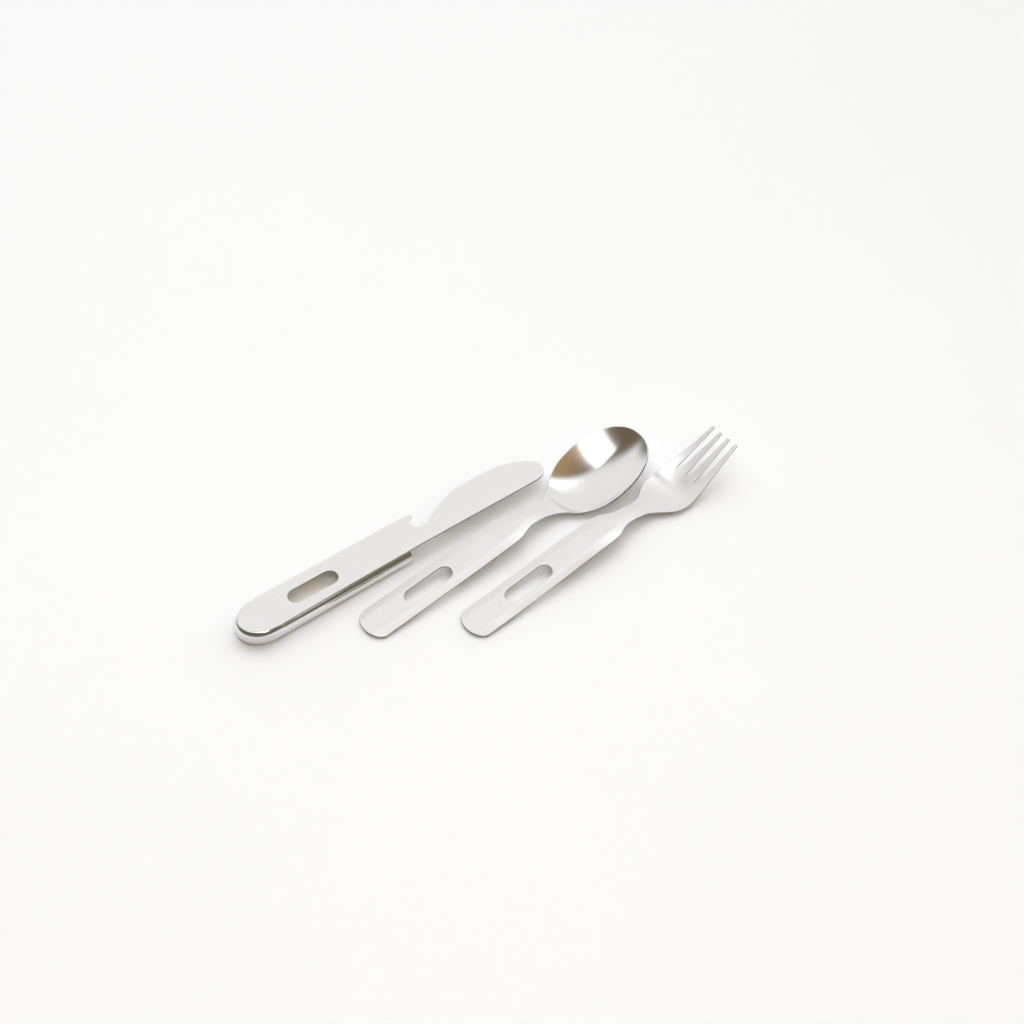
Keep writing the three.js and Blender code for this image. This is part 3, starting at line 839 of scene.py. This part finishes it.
# Spans over which one part of the room gives way to the next: how far over the table, in radians as
# above, how far aside, from -1 at the left to 1 at the right, and how high, up to 1 overhead
HIGH_OVER, HIGH_ASIDE, LEFT_END = (0.9, 1.25), (-0.2, 0.3), (-0.77, -0.72)
BEHIND_ASIDE, BEHIND_UP = (-0.15, 0.40), (0.55, 0.85)

# The softbox: its height, then in degrees seen from the table its half length and half width, how
# far it hangs to the left and to the near side, and how far its run is turned
SOFTBOX_HEIGHT, SOFTBOX_SPAN, SOFTBOX_OFF, SOFTBOX_TURN = 1.5, (30, 10), (2, 15), 50
SOFTBOX_POWER, SOFTBOX_COLOUR = 6.6, (0.98, 1.0, 1.02)
# The lamps: how far each hangs to the right, to the far side and up, and its power and colour
LAMP_SIZE = 3.0
KEY_LAMP = ((-0.4, 1.7, 2.7), 40.0, (0.90, 1.0, 1.11))
FILL_LAMP = ((0.8, -1.8, 2.5), 9.0, (1.0, 0.92, 0.80))


def lay_table(centre):
    """Wide square table just under the cutlery."""
    mesh = bpy.data.meshes.new("table")
    half = TABLE_HALF
    corners = [(-half, -half, 0), (half, -half, 0), (half, half, 0), (-half, half, 0)]
    mesh.from_pydata(corners, [], [(0, 1, 2, 3)])
    mesh.materials.append(table_top())
    table = bpy.data.objects.new("table", mesh)
    table.location = (centre.x, centre.y, -TABLE_GAP)
    bpy.context.scene.collection.objects.link(table)


def set_camera(target):
    """Camera that looks down at the target from the near side."""
    data = bpy.data.cameras.new("camera")
    data.lens, data.sensor_width = LENS, SENSOR
    camera = bpy.data.objects.new("camera", data)
    towards = FAR_SIDE * math.cos(ELEVATION) - Vector((0, 0, math.sin(ELEVATION)))
    camera.location = target - towards * DISTANCE
    camera.rotation_euler = towards.to_track_quat("-Z", "Y").to_euler()
    bpy.context.scene.collection.objects.link(camera)
    bpy.context.scene.camera = camera


def fade(tree, source, span):
    """0 below a span of values, 1 above it."""
    return ranged(tree, source, *span, 0, 1)


def light_room():
    """The surroundings that the metal mirrors.

    A pale backdrop rises from the table's far side and comes over it, brighter high up on the right
    and ending on the left. Past its end is a dim room: golden high on the right, dark high on the
    left and olive low down.
    """
    world = bpy.data.worlds.new("room")
    bpy.context.scene.world = world
    world.use_nodes = True
    tree = world.node_tree
    tree.nodes.clear()
    output = node(tree, "ShaderNodeOutputWorld")
    plain = node(tree, "ShaderNodeBackground", Color=PLAIN_VIEW, Strength=1.0)
    room = node(tree, "ShaderNodeBackground", Strength=1.0)
    direction = node(tree, "ShaderNodeTexCoord").outputs["Generated"]
    along = dot(tree, direction, FAR_SIDE)
    aside = dot(tree, direction, RIGHT_SIDE)
    up = dot(tree, direction, (0, 0, 1))
    over = math_node(tree, "ARCTAN2", up, along)
    high = math_node(tree, "MULTIPLY", fade(tree, over, HIGH_OVER), fade(tree, aside, HIGH_ASIDE))
    screen = mixed(tree, high, BACKDROP_LOW, BACKDROP_HIGH)
    backdrop = mixed(tree, fade(tree, aside, LEFT_END), ROOM_LOW, screen)
    upper_room = mixed(tree, fade(tree, aside, BEHIND_ASIDE), ROOM_LEFT, ROOM_RIGHT)
    behind = mixed(tree, fade(tree, up, BEHIND_UP), ROOM_LOW, upper_room)
    ends = [math.radians(BACKDROP_END + side * BACKDROP_FADE) for side in (-1, 1)]
    link(tree, mixed(tree, fade(tree, over, ends), backdrop, behind), room.inputs["Color"])
    mix = node(tree, "ShaderNodeMixShader")
    link(tree, node(tree, "ShaderNodeLightPath").outputs["Is Camera Ray"], mix.inputs[0])
    link(tree, room.outputs[0], mix.inputs[1])
    link(tree, plain.outputs[0], mix.inputs[2])
    link(tree, mix.outputs[0], output.inputs[0])


def hang_softbox(target):
    """Long lamp overhead, turned across the table."""
    lamp = bpy.data.lights.new("softbox", "AREA")
    lamp.shape = "RECTANGLE"
    half_length, half_width = (math.tan(math.radians(angle)) for angle in SOFTBOX_SPAN)
    lamp.size = 2 * SOFTBOX_HEIGHT * half_length
    lamp.size_y = 2 * SOFTBOX_HEIGHT * half_width
    lamp.energy = SOFTBOX_POWER
    lamp.color = SOFTBOX_COLOUR
    box = bpy.data.objects.new("softbox", lamp)
    to_left, to_near = (math.tan(math.radians(angle)) for angle in SOFTBOX_OFF)
    offset = -RIGHT_SIDE * to_left - FAR_SIDE * to_near
    box.location = target + (offset + Vector((0, 0, 1))) * SOFTBOX_HEIGHT
    turn = math.radians(SOFTBOX_TURN)
    run = RIGHT_SIDE * math.cos(turn) - FAR_SIDE * math.sin(turn)
    up = (box.location - target).normalized()
    side = up.cross(run).normalized()
    box.rotation_euler = Matrix((side.cross(up), side, up)).transposed().to_euler()
    bpy.context.scene.collection.objects.link(box)


def hang_lamp(name, target, place, power, colour):
    """Broad lamp that lights the table and is not mirrored in the metal."""
    to_right, to_far, up = place
    offset = RIGHT_SIDE * to_right + FAR_SIDE * to_far + Vector((0, 0, up))
    lamp = bpy.data.lights.new(name, "AREA")
    lamp.shape = "SQUARE"
    lamp.size = LAMP_SIZE
    lamp.energy = power
    lamp.color = colour
    box = bpy.data.objects.new(name, lamp)
    box.location = target + offset
    box.rotation_euler = offset.to_track_quat("Z", "Y").to_euler()
    box.visible_glossy = False
    bpy.context.scene.collection.objects.link(box)


# ---------------------------------------------------------------- assembly
def add(piece, place, finish, body, stand_for):
    """Finishes a piece, moves its mesh to its place and has it stand for its CAD node."""
    piece.data.materials.append(finish)
    piece.data.transform(place)
    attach(piece, body)
    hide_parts(stand_for)


butt_low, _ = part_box("knife_blade")
sleeve_low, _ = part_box("knife_sleeve")
butt = Vector((butt_low.x, sleeve_low.y + SLEEVE_HALF * MM, 0))


def beside_knife(x, y, turn):
    """Place of a piece whose butt is x, y millimetres from the knife's, turned by degrees."""
    shift = Matrix.Translation(butt + Vector((x, y, 0)) * MM)
    return shift @ Matrix.Rotation(math.radians(turn), 4, "Z")


# Roughness of each finish where it is dull and where it is polished
satin = steel("satin_steel", dull=0.30, bright=0.10)
polished = steel("polished_steel", dull=0.65, bright=0.12)
spoon_finish = steel("spoon_steel", dull=0.30, bright=0.15)

target = butt + Vector((VIEW_ALONG, VIEW_ACROSS, 0))
set_camera(target)
lay_table(target)
light_room()
hang_softbox(target)
hang_lamp("key", target, *KEY_LAMP)
hang_lamp("fill", target, *FILL_LAMP)
bpy.context.scene.view_settings.view_transform = "Standard"

plate = knife_blade()
note_places(plate, sheltered=plate_over_sleeve)
add(plate, beside_knife(0, 0, 0), satin, "knife", "knife_blade")
shell = knife_sleeve()
outside = sleeve_outside(shell)
note_places(shell, outside, lambda places: ~outside(places))
add(shell, beside_knife(0, 0, 0), polished, "knife", "knife_sleeve")
pressed_spoon = spoon()
note_places(pressed_spoon, spoon_polish)
add(pressed_spoon, beside_knife(*SPOON_PLACE), spoon_finish, "spoon", "spoon")
pressed_fork = fork()
note_places(pressed_fork)
add(pressed_fork, beside_knife(*FORK_PLACE), satin, "fork", "fork")
